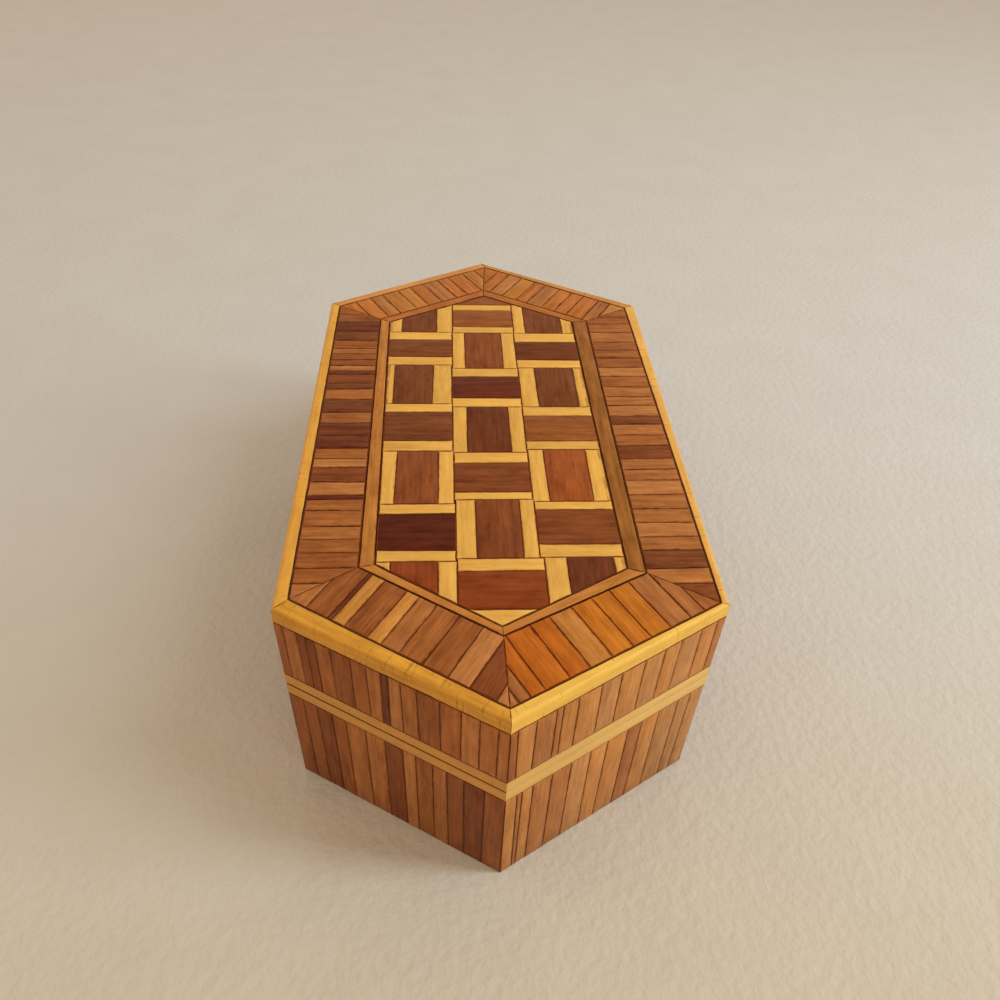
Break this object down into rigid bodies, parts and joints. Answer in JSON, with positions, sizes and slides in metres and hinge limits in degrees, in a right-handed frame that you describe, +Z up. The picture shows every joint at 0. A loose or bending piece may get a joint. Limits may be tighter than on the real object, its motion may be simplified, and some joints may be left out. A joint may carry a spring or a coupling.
{
  "type": "trinket box",
  "caption": "Long hexagonal wooden trinket box with pointed ends, upright strip sides, and a lift-off lid with a basket weave inlay.",
  "frame": {"origin": "centre of the underside", "axes": "+Z up, +Y along the box from one point to the other, +X to the right seen from the -Y point"},
  "size_m": [0.06, 0.1134, 0.0383],
  "materials": {
    "boards": "plain sanded",
    "side_strips": "satin lacquer",
    "boxwood": "satin lacquer",
    "crossband": "satin lacquer",
    "stringing": "satin lacquer",
    "tiles": "satin lacquer"
  },
  "bodies": {
    "root": {"base_board": "boards", "body_joint_band": "boxwood", "body_strips_far_left": "side_strips", "body_strips_far_right": "side_strips", "body_strips_left": "side_strips", "body_strips_near_left": "side_strips", "body_strips_near_right": "side_strips", "body_strips_right": "side_strips", "body_wall_far_left": "boards", "body_wall_far_right": "boards", "body_wall_left": "boards", "body_wall_near_left": "boards", "body_wall_near_right": "boards", "body_wall_right": "boards", "lid_board": "boards", "lid_crossband_far_left": "crossband", "lid_crossband_far_right": "crossband", "lid_crossband_left": "crossband", "lid_crossband_near_left": "crossband", "lid_crossband_near_right": "crossband", "lid_crossband_right": "crossband", "lid_edging": "boxwood", "lid_far_tip": "tiles", "lid_joint_band": "boxwood", "lid_stringing": "stringing", "lid_strips_far_left": "side_strips", "lid_strips_far_right": "side_strips", "lid_strips_left": "side_strips", "lid_strips_near_left": "side_strips", "lid_strips_near_right": "side_strips", "lid_strips_right": "side_strips", "lid_tile_a1": "tiles", "lid_tile_a2": "tiles", "lid_tile_a3": "tiles", "lid_tile_b1": "tiles", "lid_tile_b2": "tiles", "lid_tile_b3": "tiles", "lid_tile_c1": "tiles", "lid_tile_c2": "tiles", "lid_tile_c3": "tiles", "lid_tile_d1": "tiles", "lid_tile_d2": "tiles", "lid_tile_d3": "tiles", "lid_tile_e1": "tiles", "lid_tile_e2": "tiles", "lid_tile_e3": "tiles", "lid_tile_f1": "tiles", "lid_tile_f2": "tiles", "lid_tile_f3": "tiles", "lid_tile_g1": "tiles", "lid_tile_g2": "tiles", "lid_tile_g3": "tiles", "lid_wall_far_left": "boards", "lid_wall_far_right": "boards", "lid_wall_left": "boards", "lid_wall_near_left": "boards", "lid_wall_near_right": "boards", "lid_wall_right": "boards"}
  },
  "joints": []
}
